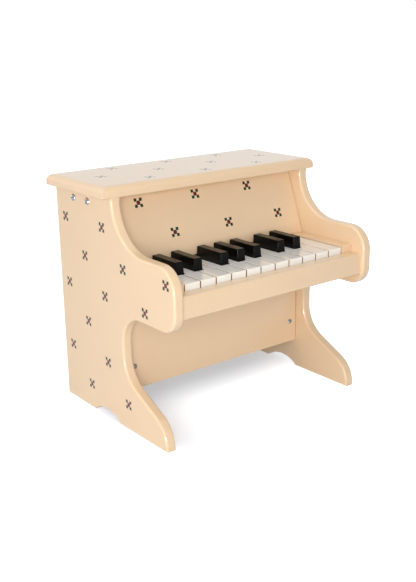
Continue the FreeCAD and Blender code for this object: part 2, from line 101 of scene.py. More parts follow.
# A board is its outline carried through its thickness. Towards each face the outline follows a quarter
# circle: it is pulled in by ease (1 - sin a) while it stands ease (1 - cos a) off the face.
def boardRings(loop, low, high, easeLow, easeHigh, steps=6):
    angle = np.linspace(0, math.pi / 2, steps + 1)[:, None]
    pull, stand = 1 - np.sin(angle), 1 - np.cos(angle)
    easeLow, easeHigh = (np.broadcast_to(ease, len(loop)) for ease in (easeLow, easeHigh))
    inset = np.concatenate([easeLow * pull, (easeHigh * pull)[::-1]])
    height = np.concatenate([low + easeLow * stand, (high - easeHigh * stand)[::-1]])
    return np.concatenate([pulledIn(loop, inset), height[..., None]], -1)


# A stack of rectangles with one small corner radius, one row of levels for each: height, then the two edges
# across and the two edges along. The corner stays as sharp on every level, so it runs up as a mitre.
def blockRings(levels, cornerRadius, steps=4):
    levels = np.asarray(levels, float)
    quarter = np.linspace(0, math.pi / 2, steps + 1)
    angle = (np.arange(4)[:, None] * math.pi / 2 + quarter).ravel()
    right = np.repeat([1, 0, 0, 1], steps + 1)
    rear = np.repeat([1, 1, 0, 0], steps + 1)
    height, west, east, front, back = (column[:, None] for column in levels.T)
    across = np.where(right, east - cornerRadius, west + cornerRadius) + cornerRadius * np.cos(angle)
    along = np.where(rear, back - cornerRadius, front + cornerRadius) + cornerRadius * np.sin(angle)
    return np.stack([across, along, np.broadcast_to(height, across.shape)], -1)


# A turned shape: rows of radius and height are carried round a circle, and dip lowers what stands above zero
# by a function of the place on it
def turnedRings(profile, count, dip):
    radius, height = (column[:, None] for column in np.asarray(profile, float).T)
    angle = np.linspace(0, 2 * math.pi, count, endpoint=False)
    across, along = radius * np.cos(angle), radius * np.sin(angle)
    tall = np.broadcast_to(height, across.shape)
    return np.stack([across, along, tall - dip(across, along) * (tall > 0)], -1)


# Rings become quads from each to the next, and the first and last are closed by one face each. The order
# names the axis of each of a ring's three values.
def shellOf(rings, order=(0, 1, 2)):
    count, size = rings.shape[:2]
    here = np.arange(size)
    row = np.arange(count - 1)[:, None] * size
    onward = np.roll(here, -1)
    quads = np.stack([row + here, row + onward, row + onward + size, row + here + size], -1).reshape(-1, 4)
    points = np.empty((count * size, 3))
    points[:, order] = rings.reshape(-1, 3)
    return points, quads.tolist() + [here[::-1].tolist(), (here + (count - 1) * size).tolist()]


alongX = (1, 2, 0)   # outline in Y and Z, carried along X
alongY = (2, 0, 1)   # outline in Z and X, carried along Y

shading = {"crease": math.radians(40), "faceWeight": 90}   # turns past the crease stay sharp, large faces flat


# One object from several closed shells, in the frame's own place, drawn instead of its node
def addPiece(name, shells, material, body, node):
    points, faces, base = [], [], 0
    for shellPoints, shellFaces in shells:
        points.append(shellPoints)
        faces += [[corner + base for corner in face] for face in shellFaces]
        base += len(shellPoints)
    mesh = bpy.data.meshes.new(name)
    mesh.from_pydata(np.concatenate(points).tolist(), [], faces)
    mesh.polygons.foreach_set("use_smooth", np.ones(len(mesh.polygons), bool))
    mesh.set_sharp_from_angle(angle=shading["crease"])
    mesh.materials.append(material)
    piece = bpy.data.objects.new(name, mesh)
    bpy.context.scene.collection.objects.link(piece)
    flatten = piece.modifiers.new("flat faces stay flat", "WEIGHTED_NORMAL")
    flatten.weight = shading["faceWeight"]
    flatten.keep_sharp = True
    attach(piece, body)
    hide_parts(node)
    return piece


def faceNormals(mesh):
    normals = np.empty(len(mesh.polygons) * 3)
    mesh.polygons.foreach_get("normal", normals)
    return normals.reshape(-1, 3)


def markFaces(mesh, name, values):
    mesh.attributes.new(name, "FLOAT", "FACE").data.foreach_set("value", np.asarray(values, float))


flatCosine = 0.999   # of the most that a printed face turns from the way its side looks


# The faces that carry the print are marked, and get flat coordinates in metres, turned by an eighth so that
# the rows of the print run on the slant. They count from a start across and up the face, which keeps each
# rosette whole.
def setPrint(piece, across, up, facing, start):
    mesh = piece.data
    across, up, facing = (np.array(direction, float) for direction in (across, up, facing))
    points = np.empty(len(mesh.vertices) * 3)
    mesh.vertices.foreach_get("co", points)
    points = points.reshape(-1, 3)
    corner = np.empty(len(mesh.loops), int)
    mesh.loops.foreach_get("vertex_index", corner)
    right, high = points @ across - start[0], points @ up - start[1]
    flat = np.stack([high + right, high - right], 1)[corner] / math.sqrt(2)
    mesh.uv_layers.new(name="printPlace").data.foreach_set("uv", flat.ravel())
    markFaces(mesh, "printed", faceNormals(mesh) @ facing > flatCosine)


# Materials

# The sRGB curve undone: a straight line near black, and above it a power of 2.4
def linear(code):
    value = np.array([int(code[i:i + 2], 16) for i in (0, 2, 4)]) / 255
    return (*np.where(value <= 0.04045, value / 12.92, ((value + 0.055) / 1.055) ** 2.4), 1.0)


# Each socket gets its value, or a link from the output that feeds it
def setSockets(tree, node, sockets):
    for key, value in sockets.items():
        if isinstance(value, bpy.types.NodeSocket):
            tree.links.new(value, node.inputs[key])
        else:
            node.inputs[key].default_value = value


# A node with its settings and sockets. A Mix of colours takes its share at 0 and the two colours at 6 and 7,
# and gives the result at 2.
def addNode(tree, kind, sockets=None, **settings):
    node = tree.nodes.new("ShaderNode" + kind)
    for name, value in settings.items():
        setattr(node, name, value)
    setSockets(tree, node, sockets or {})
    return node


def startMaterial(name):
    material = bpy.data.materials.new(name)
    material.use_nodes = True
    tree = material.node_tree
    tree.nodes.clear()
    shader = addNode(tree, "BsdfPrincipled")
    addNode(tree, "OutputMaterial", {"Surface": shader.outputs[0]})
    place = addNode(tree, "TexCoord").outputs["Object"]
    return material, tree, shader, place


# Sprayed lacquer over sanded board: an even cream with a very slow change of tone, a skin that ripples like
# orange peel about 4 mm from crest to crest, and a clear top coat that mirrors the light softly over a
# colour coat that mirrors little
lacquer = {
    "light": "eed1ad", "deep": "e9c9a4", "tone": 90 * mm,
    "peel": 4 * mm, "peelHeight": 0.006 * mm, "roughness": (0.30, 0.38),
}


def creamLacquer(name, printed=False):
    material, tree, shader, place = startMaterial(name)
    light, deep = linear(lacquer["light"]), linear(lacquer["deep"])
    tone = addNode(tree, "TexNoise", {"Vector": place, "Scale": 1 / lacquer["tone"], "Detail": 3.0})
    colour = addNode(tree, "Mix", {0: tone.outputs[0], 6: deep, 7: light}, data_type="RGBA").outputs[2]
    if printed:
        colour = printOver(tree, colour)
    peel = addNode(tree, "TexNoise", {"Vector": place, "Scale": 1 / lacquer["peel"], "Detail": 1.0})
    bump = addNode(tree, "Bump", {"Height": peel.outputs[0], "Distance": lacquer["peelHeight"],
                                  "Strength": 1.0})
    low, high = lacquer["roughness"]
    sheen = addNode(tree, "MapRange", {"Value": peel.outputs[0], "To Min": low, "To Max": high})
    setSockets(tree, shader, {
        "Base Color": colour, "Roughness": sheen.outputs[0], "IOR": 1.5, "Normal": bump.outputs[0],
        "Specular IOR Level": 0.25, "Coat Weight": 0.8, "Coat Roughness": 0.10, "Coat IOR": 1.5,
        "Coat Normal": bump.outputs[0],
    })
    return material


# The print: small rosettes on a square lattice, a round middle with four diamond petals
rosette = {
    "pitch": 54 * mm, "middleColour": "6a1724", "petalColour": "17301f", "middleRadius": 2.5 * mm,
    "petalReach": 4.8 * mm, "petalLong": 2.6 * mm, "petalWide": 2.4 * mm, "blur": 0.15 * mm,
}


# A screened print. Each place is measured from the middle of its own square of the lattice. It lies in the
# round middle where that distance is under the radius. It lies in a petal where, folded into the eighth of
# the square that all petals share, its two ways from the petal's middle, each over the petal's half size, add
# up to less than one.
def printOver(tree, under):
    place = addNode(tree, "UVMap", uv_map="printPlace").outputs[0]
    mark = addNode(tree, "Attribute", attribute_name="printed").outputs["Fac"]
    pitch, blur, radius = rosette["pitch"], rosette["blur"], rosette["middleRadius"]
    wrapped = addNode(tree, "VectorMath", {0: place, 1: (pitch,) * 3, 2: (0, 0, 0)}, operation="WRAP")
    local = addNode(tree, "VectorMath", {0: wrapped.outputs[0], 1: (pitch / 2, pitch / 2, 0)},
                    operation="SUBTRACT").outputs[0]
    away = addNode(tree, "VectorMath", {0: local}, operation="LENGTH").outputs["Value"]
    middle = addNode(tree, "MapRange", {"Value": away, "From Min": radius + blur, "From Max": radius - blur})
    folded = addNode(tree, "VectorMath", {0: local}, operation="ABSOLUTE").outputs[0]
    ways = addNode(tree, "SeparateXYZ", {0: folded}).outputs
    far = addNode(tree, "Math", {0: ways[0], 1: ways[1]}, operation="MAXIMUM").outputs[0]
    near = addNode(tree, "Math", {0: ways[0], 1: ways[1]}, operation="MINIMUM").outputs[0]
    offset = addNode(tree, "Math", {0: far, 1: rosette["petalReach"]}, operation="SUBTRACT").outputs[0]
    size = addNode(tree, "Math", {0: offset}, operation="ABSOLUTE").outputs[0]
    long = addNode(tree, "Math", {0: size, 1: 1 / rosette["petalLong"]}, operation="MULTIPLY").outputs[0]
    total = addNode(tree, "Math", {0: near, 1: 1 / rosette["petalWide"], 2: long}, operation="MULTIPLY_ADD")
    edge = blur / rosette["petalWide"]
    petal = addNode(tree, "MapRange", {"Value": total.outputs[0], "From Min": 1 + edge, "From Max": 1 - edge})
    colour = under
    for shape, ink in ((middle, "middleColour"), (petal, "petalColour")):
        share = addNode(tree, "Math", {0: shape.outputs[0], 1: mark}, operation="MULTIPLY").outputs[0]
        colour = addNode(tree, "Mix", {0: share, 6: colour, 7: linear(rosette[ink])},
                         data_type="RGBA").outputs[2]
    return colour


rubbing = {"across": 1.5 * mm, "along": 60 * mm, "height": 0.004 * mm}


# Gloss lacquer on wooden keys: a hard, nearly mirror-smooth skin with the faint streaks of the last rubbing,
# which run the length of the key. Where a flank colour is given, the flanks take it: a painted shade, a
# darker brown that stands for the shadow in the narrow gaps between the keys.
def keyLacquer(name, light, deep, roughness, coat, level, flankShade=None):
    material, tree, shader, place = startMaterial(name)
    across, along = 1 / rubbing["across"], 1 / rubbing["along"]
    drawn = addNode(tree, "Mapping", {"Vector": place, "Scale": (across, along, across)})
    streaks = addNode(tree, "TexNoise", {"Vector": drawn.outputs[0], "Scale": 1.0, "Detail": 2.0})
    colour = addNode(tree, "Mix", {0: streaks.outputs[0], 6: linear(deep), 7: linear(light)},
                     data_type="RGBA")
    # Painted shade: the marked flanks take the darker brown in place of the shadow between keys
    if flankShade:
        flank = addNode(tree, "Attribute", attribute_name="flank").outputs["Fac"]
        colour = addNode(tree, "Mix", {0: flank, 6: colour.outputs[2], 7: linear(flankShade)}, data_type="RGBA")
    low, high = roughness
    gloss = addNode(tree, "MapRange", {"Value": streaks.outputs[0], "To Min": low, "To Max": high})
    bump = addNode(tree, "Bump", {"Height": streaks.outputs[0], "Distance": rubbing["height"],
                                  "Strength": 1.0})
    setSockets(tree, shader, {
        "Base Color": colour.outputs[2], "Roughness": gloss.outputs[0], "IOR": 1.5,
        "Normal": bump.outputs[0], "Specular IOR Level": level, "Coat Weight": coat, "Coat Roughness": 0.06,
        "Coat IOR": 1.5,
    })
    return material


grainStretch = 14   # rings run this many times as far along the grain as across it


# Planed wood: growth rings show as long streaks, light early wood and thin darker late wood, with short
# pores. The grain is the number of the axis that it follows.
def planedWood(name, light, deep, ringWidth, grain, roughness):
    material, tree, shader, place = startMaterial(name)
    stretch = tuple(1 / (ringWidth * (grainStretch if axis == grain else 1)) for axis in range(3))
    drawn = addNode(tree, "Mapping", {"Vector": place, "Scale": stretch})
    rings = addNode(tree, "TexNoise", {"Vector": drawn.outputs[0], "Scale": 1.0, "Detail": 3.0,
                                       "Distortion": 0.6})
    thin = addNode(tree, "MapRange", {"Value": rings.outputs[0], "From Min": 0.35, "From Max": 0.7})
    pores = addNode(tree, "TexNoise", {"Vector": drawn.outputs[0], "Scale": 6.0, "Detail": 2.0})
    colour = addNode(tree, "Mix", {0: thin.outputs[0], 6: linear(light), 7: linear(deep)}, data_type="RGBA")
    bump = addNode(tree, "Bump", {"Height": pores.outputs[0], "Distance": 0.05 * mm, "Strength": 0.6})
    setSockets(tree, shader, {"Base Color": colour.outputs[2], "Roughness": roughness, "IOR": 1.5,
                              "Normal": bump.outputs[0]})
    return material


# Metal: drawn, cast or plated, told apart by how far its fine marks run along each axis and how dull they
# leave it
def workedMetal(name, light, deep, marks, roughness):
    material, tree, shader, place = startMaterial(name)
    drawn = addNode(tree, "Mapping", {"Vector": place, "Scale": tuple(1 / mark for mark in marks)})
    scratch = addNode(tree, "TexNoise", {"Vector": drawn.outputs[0], "Scale": 1.0, "Detail": 3.0})
    colour = addNode(tree, "Mix", {0: scratch.outputs[0], 6: linear(deep), 7: linear(light)},
                     data_type="RGBA")
    low, high = roughness
    dull = addNode(tree, "MapRange", {"Value": scratch.outputs[0], "To Min": low, "To Max": high})
    bump = addNode(tree, "Bump", {"Height": scratch.outputs[0], "Distance": 0.01 * mm, "Strength": 0.5})
    setSockets(tree, shader, {"Base Color": colour.outputs[2], "Metallic": 1.0,
                              "Roughness": dull.outputs[0], "Normal": bump.outputs[0]})
    return material


feltFibre = 0.6 * mm   # coarser than real wool, so that it shows


# Pressed wool felt: matted fibres with no gloss and a soft fuzz at their edges
def pressedFelt(name, light, deep):
    material, tree, shader, place = startMaterial(name)
    fibre = addNode(tree, "TexNoise", {"Vector": place, "Scale": 1 / feltFibre, "Detail": 4.0,
                                       "Distortion": 1.5})
    colour = addNode(tree, "Mix", {0: fibre.outputs[0], 6: linear(deep), 7: linear(light)}, data_type="RGBA")
    bump = addNode(tree, "Bump", {"Height": fibre.outputs[0], "Distance": 0.3 * mm, "Strength": 0.8})
    setSockets(tree, shader, {"Base Color": colour.outputs[2], "Roughness": 0.95, "IOR": 1.45,
                              "Normal": bump.outputs[0], "Sheen Weight": 0.4, "Sheen Roughness": 0.5})
    return material


sparkGrain = 0.8 * mm   # coarser than a real tool's, so that it shows


# Moulded plastic from a spark-eroded tool: a fine even grain and a low gloss
def mouldedPlastic(name, light, deep):
    material, tree, shader, place = startMaterial(name)
    grain = addNode(tree, "TexNoise", {"Vector": place, "Scale": 1 / sparkGrain, "Detail": 2.0})
    colour = addNode(tree, "Mix", {0: grain.outputs[0], 6: linear(deep), 7: linear(light)}, data_type="RGBA")
    bump = addNode(tree, "Bump", {"Height": grain.outputs[0], "Distance": 0.03 * mm, "Strength": 0.5})
    setSockets(tree, shader, {"Base Color": colour.outputs[2], "Roughness": 0.45, "IOR": 1.53,
                              "Normal": bump.outputs[0]})
    return material


plainCream = creamLacquer("sprayed cream lacquer on board")
printedCream = creamLacquer("sprayed cream lacquer with screened print", printed=True)
# The white keys' flanks take a darker brown, a painted shade for the shadow in the gaps between keys
whiteGloss = keyLacquer("gloss white lacquer on beech", "fbf9f4", "f4f1ea", roughness=(0.1, 0.2), coat=0.4,
                        level=0.5, flankShade="a8804f")
blackGloss = keyLacquer("gloss black lacquer on beech", "0e0c0a", "080706", roughness=(0.2, 0.3), coat=0.0,
                        level=0.15)
softwood = planedWood("planed pine", "dcbd8c", "c79f68", ringWidth=2.2 * mm, grain=0, roughness=0.6)
birchPly = planedWood("sealed birch plywood", "dcc096", "c8a577", ringWidth=3.0 * mm, grain=2, roughness=0.42)
drawnSteel = workedMetal("drawn steel rod", "c9cbcd", "a9abae", marks=(30 * mm, 0.4 * mm, 0.4 * mm),
                         roughness=(0.2, 0.34))
toneSteel = workedMetal("drawn steel tone rod", "d0d1d2", "aeb0b3", marks=(0.4 * mm, 0.4 * mm, 30 * mm),
                        roughness=(0.18, 0.3))
castZinc = workedMetal("die-cast zinc", "9c9fa3", "7f8286", marks=(1.2 * mm,) * 3, roughness=(0.4, 0.6))
platedSteel = workedMetal("zinc plated steel", "c8cbce", "a4a9ad", marks=(0.8 * mm,) * 3,
                          roughness=(0.22, 0.36))
woolFelt = pressedFelt("pressed wool felt", "97343b", "7a242b")
hammerPlastic = mouldedPlastic("moulded ABS", "ece7d9", "e2dccb")
print("materials made")


# Pieces

# A side board. Its outline goes up the back, along the top, down the shoulder, round the arm, in at the knee
# notch, down the foot's S-shaped front and along the floor over a low arch. The shares keep a round a little
# short of the longest that fits its corner.
sideBoard = {
    "edge": 2.7 * mm, "floorEdge": 1.8 * mm, "crisp": 0.25 * mm, "lead": 3.2 * mm,
    "topDepth": 116.5 * mm, "shoulder": 54.5 * mm, "nose": 27 * mm, "chin": 21 * mm, "armUnder": 132 * mm,
    "waist": 128 * mm, "knee": 32 * mm, "sweep": 40 * mm, "sweepHeight": 86 * mm,
    "footDepth": 204.5 * mm, "toe": 38 * mm, "arch": (62 * mm, 115 * mm), "archHeight": 8 * mm,
    "shoulderShare": 0.97, "toeShare": 0.9, "archShare": 0.95, "printStart": (15 * mm, 30 * mm),
}


# Rows are how far a corner stands from the back, its height and its radius
def sideCorners(low, high):
    side, top, depth = sideBoard, high[2], high[1] - low[1]
    armTop = top - side["shoulder"]
    # The foot's two curves turn by the same angle, whose half has this tangent: the straight run between them
    # rises by what the curves leave of the height while it goes forward by what they leave of the reach
    radii, reach = side["sweep"] + side["toe"], side["footDepth"] - side["waist"]
    rest = 2 * radii - reach
    tangent = (side["sweepHeight"] - math.sqrt(side["sweepHeight"] ** 2 - reach * rest)) / rest
    archRear, archFront = side["arch"]
    half = (archFront - archRear) / 2
    archRadius = (half ** 2 + side["archHeight"] ** 2) / (2 * side["archHeight"])
    archPeak = half * half / (archRadius - side["archHeight"])
    rows = [
        (0, 0, 0), (0, top - side["lead"], 0), (0, top, 0), (side["topDepth"], top, 0),
        (side["topDepth"], armTop, side["shoulder"] * side["shoulderShare"]), (depth, armTop, side["nose"]),
        (depth, side["armUnder"], side["chin"]), (side["waist"], side["armUnder"], side["knee"]),
        (side["waist"], side["sweepHeight"] - side["sweep"] * tangent, side["sweep"]),
        (side["footDepth"], side["toe"] * tangent, side["toe"] * side["toeShare"]),
        (side["footDepth"], 0, 0), (archFront, 0, 0),
        ((archFront + archRear) / 2, archPeak, archRadius * side["archShare"]), (archRear, 0, 0),
    ]
    return [(high[1] - fromBack, height, radius) for fromBack, height, radius in rows]


for name, outward in (("left_side", -1), ("right_side", 1)):
    low, high = boxOf(name)
    loop = roundedLoop(sideCorners(low, high), turnStep=math.radians(4))
    # The edge is soft all round, a little less so on the floor, and turns crisp where the lid covers it
    heights = [low[2], low[2] + sideBoard["lead"], high[2] - sideBoard["lead"], high[2]]
    eases = [sideBoard[key] for key in ("floorEdge", "edge", "edge", "crisp")]
    ease = np.interp(loop[:, 1], heights, eases)
    shell = shellOf(boardRings(loop, low[0], high[0], ease, ease), alongX)
    piece = addPiece(name + "_board", [shell], printedCream, "cabinet", name)
    setPrint(piece, (0, 1, 0), (0, 0, 1), (outward, 0, 0), sideBoard["printStart"])
print("sides made")

# The lid: a crisp lower edge, straight walls and a generous round into the top, mitred at the corners. Both
# edges are quarter circles, pulled in by r (1 - sin a) at r (1 - cos a) from the face.
lidBoard = {
    "round": 7.4 * mm, "underEdge": 0.5 * mm, "corner": 0.45 * mm, "steps": 14, "printStart": (0, 53.2 * mm),
}
low, high = boxOf("lid")
angle = np.linspace(0, math.pi / 2, lidBoard["steps"] + 1)
quarter = np.stack([1 - np.sin(angle), 1 - np.cos(angle)], 1)
under, over = lidBoard["underEdge"] * quarter, lidBoard["round"] * quarter[::-1]
inset = np.concatenate([under[:, 0], over[:, 0]])
height = np.concatenate([low[2] + under[:, 1], high[2] - over[:, 1]])
levels = np.stack([height, low[0] + inset, high[0] - inset, low[1] + inset, high[1] - inset], 1)
shell = shellOf(blockRings(levels, lidBoard["corner"]))
piece = addPiece("lid_board", [shell], printedCream, "cabinet", "lid")
setPrint(piece, (1, 0, 0), (0, 1, 0), (0, 0, 1), lidBoard["printStart"])

# The leaning upper panel, whose foot and top are read from the frame
upperPanel = {
    "edge": 0.5 * mm, "endEdge": 0.3 * mm, "endGap": 0.6 * mm, "readWithin": 1 * mm,
    "printStart": (19.1 * mm, 1.5 * mm),
}
edge, endEdge, endGap, within = (upperPanel[key] for key in ("edge", "endEdge", "endGap", "readWithin"))
points = np.array([vertex.co for vertex in nodes["upper_panel"].data.vertices])
low, high = points.min(0), points.max(0)
foot = points[points[:, 2] < low[2] + within]
top = points[points[:, 2] > high[2] - within]
corners = [(foot[:, 1].min(), low[2], edge), (foot[:, 1].max(), low[2], edge),
           (top[:, 1].max(), high[2], edge), (top[:, 1].min(), high[2], edge)]
loop = roundedLoop(corners, turnStep=math.radians(15))
rings = boardRings(loop, low[0] + endGap, high[0] - endGap, endEdge, endEdge, steps=2)
piece = addPiece("upper_panel_board", [shellOf(rings, alongX)], printedCream, "cabinet",
                 "upper_panel")
slope = Vector((0, top[:, 1].min() - foot[:, 1].min(), high[2] - low[2])).normalized()
setPrint(piece, (1, 0, 0), slope, Vector((1, 0, 0)).cross(slope), upperPanel["printStart"])

# Knee panel and back panel: flat plates with broken edges and a narrow joint at each end
plates = {
    "knee_panel": {"material": plainCream, "slot": "cream_lacquered_board", "endGap": 0.8 * mm},
    "back_panel": {"material": birchPly, "slot": "plywood_back", "endGap": 0.2 * mm},
}
plateEdge = {"outline": 0.5 * mm, "face": 0.4 * mm}
for name, plate in plates.items():
    low, high = boxOf(name)
    left, right = low[0] + plate["endGap"], high[0] - plate["endGap"]
    corners = rectangle((low[2], left), (high[2], right), [plateEdge["outline"]] * 4)
    loop = roundedLoop(corners, turnStep=math.radians(15))
    rings = boardRings(loop, low[1], high[1], plateEdge["face"], plateEdge["face"], steps=3)
    addPiece(name + "_plate", [shellOf(rings, alongY)], plate["material"], "cabinet", name)

# The key slip, rounded along its two front edges
slipRail = {"frontRound": 2.0 * mm, "rearRound": 0.5 * mm, "endEdge": 0.1 * mm}
low, high = boxOf("key_slip")
front, rear, end = (slipRail[key] for key in ("frontRound", "rearRound", "endEdge"))
loop = roundedLoop(rectangle(low[1:], high[1:], (front, rear, rear, front)))
rings = boardRings(loop, low[0], high[0], end, end, steps=2)
addPiece("key_slip_rail", [shellOf(rings, alongX)], plainCream, "cabinet", "key_slip")

# The key blocks, with a softly rounded upper edge towards the keys
keyBlock = {"upperRound": 1.0 * mm, "otherRound": 0.4 * mm, "endEdge": 0.6 * mm}
soft, hard, end = (keyBlock[key] for key in ("upperRound", "otherRound", "endEdge"))
blockRadii = {"left_key_block": (hard, hard, soft, hard), "right_key_block": (hard, soft, hard, hard)}
for name, radii in blockRadii.items():
    low, high = boxOf(name)
    loop = roundedLoop(rectangle((low[2], low[0]), (high[2], high[0]), radii), turnStep=math.radians(12))
    rings = boardRings(loop, low[1], high[1], end, end, steps=4)
    addPiece(name + "_wood", [shellOf(rings, alongY)], plainCream, "cabinet", name)
print("case boards made")

# White keys: a wide head, and a tail that narrows where a black key stands beside it. The flanks are the
# faces that look neither up nor towards the player, by the up and away parts of their normals. They are
# marked to take the painted shade of the gaps between keys.
whiteKey = {
    "slot": 1.1 * mm, "notch": 2.0 * mm, "corner": 0.5 * mm, "topEdge": 0.45 * mm, "underEdge": 0.4 * mm,
    "flankUp": 0.3, "flankAway": -0.5,
}
keyNames = [name for name in nodes if name.startswith(("white_key_", "black_key_"))]
keyNames.sort(key=lambda name: sum(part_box(name)[side][0] for side in (0, 1)))


def blackBeside(index):
    if 0 <= index < len(keyNames) and keyNames[index].startswith("black"):
        return boxOf(keyNames[index])
    return None


def whiteKeyCorners(index):
    low, high = boxOf(keyNames[index])
    corner, slot, notch = (whiteKey[key] for key in ("corner", "slot", "notch"))
    rows = [(low[0], low[1], corner), (high[0], low[1], corner)]
    beside = blackBeside(index + 1)
    if beside is None:
        rows += [(high[0], high[1], corner)]
    else:
        edge, step = beside[0][0] - slot, beside[0][1] - notch
        rows += [(high[0], step, corner), (edge, step, 0), (edge, high[1], corner)]
    beside = blackBeside(index - 1)
    if beside is None:
        rows += [(low[0], high[1], corner)]
    else:
        edge, step = beside[1][0] + slot, beside[0][1] - notch
        rows += [(edge, high[1], corner), (edge, step, 0), (low[0], step, corner)]
    return rows


# Black keys: a straight lever, and on its front a block that narrows a little towards its top
blackKey = {
    "length": 43.3 * mm, "height": 13 * mm, "sideInset": 0.35 * mm, "frontInset": 0.8 * mm,
    "rearInset": 0.4 * mm, "topEdge": 0.8 * mm, "topSteps": 6, "corner": 0.6 * mm, "leverEdge": 0.3 * mm,
    "leverTopEdge": 0.02 * mm,
}


# The block's walls lean in evenly with their height, and a quarter circle carries them into the top: pulled
# in by e (1 - cos a) at e (1 - sin a) below it
def blackKeyShells(low, high):
    key = blackKey
    base, rear = high[2] - key["height"], low[1] + key["length"]
    angle = np.linspace(0, math.pi / 2, key["topSteps"] + 1)
    rise = np.concatenate([[0, 0.5], 1 - key["topEdge"] / key["height"] * (1 - np.sin(angle))])
    pull = np.concatenate([[0, 0], key["topEdge"] * (1 - np.cos(angle))])
    levels = np.stack([
        base + key["height"] * rise,
        low[0] + key["sideInset"] * rise + pull, high[0] - key["sideInset"] * rise - pull,
        low[1] + key["frontInset"] * rise + pull, rear - key["rearInset"] * rise - pull,
    ], 1)
    loop = roundedLoop(rectangle(low[:2], high[:2], [0] * 4))
    lever = boardRings(loop, low[2], base, key["leverEdge"], key["leverTopEdge"], steps=2)
    return [shellOf(lever), shellOf(blockRings(levels, key["corner"]))]


for index, name in enumerate(keyNames):
    low, high = boxOf(name)
    if name.startswith("white"):
        loop = roundedLoop(whiteKeyCorners(index), turnStep=math.radians(15))
        rings = boardRings(loop, low[2], high[2], whiteKey["underEdge"], whiteKey["topEdge"], steps=5)
        piece = addPiece(name + "_wood", [shellOf(rings)], whiteGloss, name, name)
        away, up = faceNormals(piece.data).T[1:]
        # The flanks are marked for the painted shade of the gaps between keys
        markFaces(piece.data, "flank", (up < whiteKey["flankUp"]) & (away > whiteKey["flankAway"]))
    else:
        addPiece(name + "_wood", blackKeyShells(low, high), blackGloss, name, name)
print("keys made")

# Pan-head screws: a domed head with a cross recess on a plain shank that ends in a point
largeScrew = {"head": 4.0 * mm, "height": 2.4 * mm, "shank": 2.0 * mm, "length": 32 * mm}
smallScrew = {"head": 3.0 * mm, "height": 1.7 * mm, "shank": 1.5 * mm, "length": 12 * mm}
# Shares of the head's radius, but the depth is a share of its height
recess = {"halfWidth": 0.17, "halfLength": 0.56, "depth": 0.62, "wall": 0.07}
# The rim is a share of the head's height and the neck of its radius, and the tip and the taper count in radii
# of the shank. Each screw is turned on from the one before.
screwForm = {
    "domePower": 2.6, "domeRings": 22, "poleAngle": 0.02, "rim": 0.02, "neck": 0.96, "tip": 0.15, "taper": 2,
    "around": 48, "firstTurn": 0.7, "nextTurn": 1.9,
}


# The head's height falls from its middle as an ellipse, h (1 - (r / R) ^ 2.6) ^ 0.5, and the recess is two
# crossed slots whose walls fall over a small width
def screwShell(screw, seat, outward, spin):
    size, tall, thick, length = (screw[key] for key in ("head", "height", "shank", "length"))
    form, wall = screwForm, recess["wall"] * size

    def slot(aside, onward):
        narrow = np.clip((recess["halfWidth"] * size - np.abs(aside)) / wall + 0.5, 0, 1)
        short = np.clip((recess["halfLength"] * size - np.abs(onward)) / wall + 0.5, 0, 1)
        return narrow * short

    def dip(across, along):
        return recess["depth"] * tall * np.maximum(slot(across, along), slot(along, across))

    radius = size * np.sin(np.linspace(math.pi / 2, form["poleAngle"], form["domeRings"]))
    fall = np.sqrt(np.clip(1 - (radius / size) ** form["domePower"], 0.0, 1))
    dome = np.stack([radius, tall * fall], 1)
    dome[0, 1] = form["rim"] * tall
    shank = [(form["tip"] * thick, -length), (thick, -length + form["taper"] * thick), (thick, 0),
             (size * form["neck"], 0), (size, 0)]
    points, faces = shellOf(turnedRings(np.concatenate([shank, dome]), form["around"], dip))
    turn = Vector(outward).to_track_quat("Z", "Y").to_matrix() @ Matrix.Rotation(spin, 3, "Z")
    return points @ np.array(turn).T + np.array(seat), faces


def addScrews(node, screw, seats, outwards):
    shells = [screwShell(screw, seat, outward, screwForm["firstTurn"] + screwForm["nextTurn"] * index)
              for index, (seat, outward) in enumerate(zip(seats, outwards))]
    addPiece(node + "_set", shells, platedSteel, "cabinet", node)


# The outer screws of a set stand one head's radius inside its box
def outerSeats(low, high, axis, screw):
    return low[axis] + screw["head"], high[axis] - screw["head"]


low, high = boxOf("side_screws")
middle = (low[2] + high[2]) / 2
outerFaces = (boxOf("left_side")[0][0], boxOf("right_side")[1][0])
seats = [(x, y, middle) for x in outerFaces for y in outerSeats(low, high, 1, largeScrew)]
addScrews("side_screws", largeScrew, seats, [(-1, 0, 0)] * 2 + [(1, 0, 0)] * 2)

low, high = boxOf("knee_panel_screws")
middle = (low[2] + high[2]) / 2
front = boxOf("knee_panel")[0][1]
seats = [(x, front, middle) for x in outerSeats(low, high, 0, smallScrew)]
addScrews("knee_panel_screws", smallScrew, seats, [(0, -1, 0)] * len(seats))

low, high = boxOf("back_panel_screws")
back = boxOf("back_panel")[1][1]
bedInset = 15 * mm   # from the key bed down to the middle pair
lowest, highest = outerSeats(low, high, 2, smallScrew)
levels = (lowest, boxOf("key_bed")[0][2] - bedInset, highest)
seats = [(x, back, z) for x in outerSeats(low, high, 0, smallScrew) for z in levels]
addScrews("back_panel_screws", smallScrew, seats, [(0, 1, 0)] * len(seats))

low, high = boxOf("tone_block_screws")
middle = (low[2] + high[2]) / 2
hammersLeft = (2, 7, 12, 17)   # each screw stands between one of these hammers and the next
between = [(boxOf(f"hammer_{n:02d}")[0][0] + boxOf(f"hammer_{n + 1:02d}")[1][0]) / 2 for n in hammersLeft]
seats = [(x, back, middle) for x in between]
addScrews("tone_block_screws", smallScrew, seats, [(0, 1, 0)] * len(seats))
print("screws made")

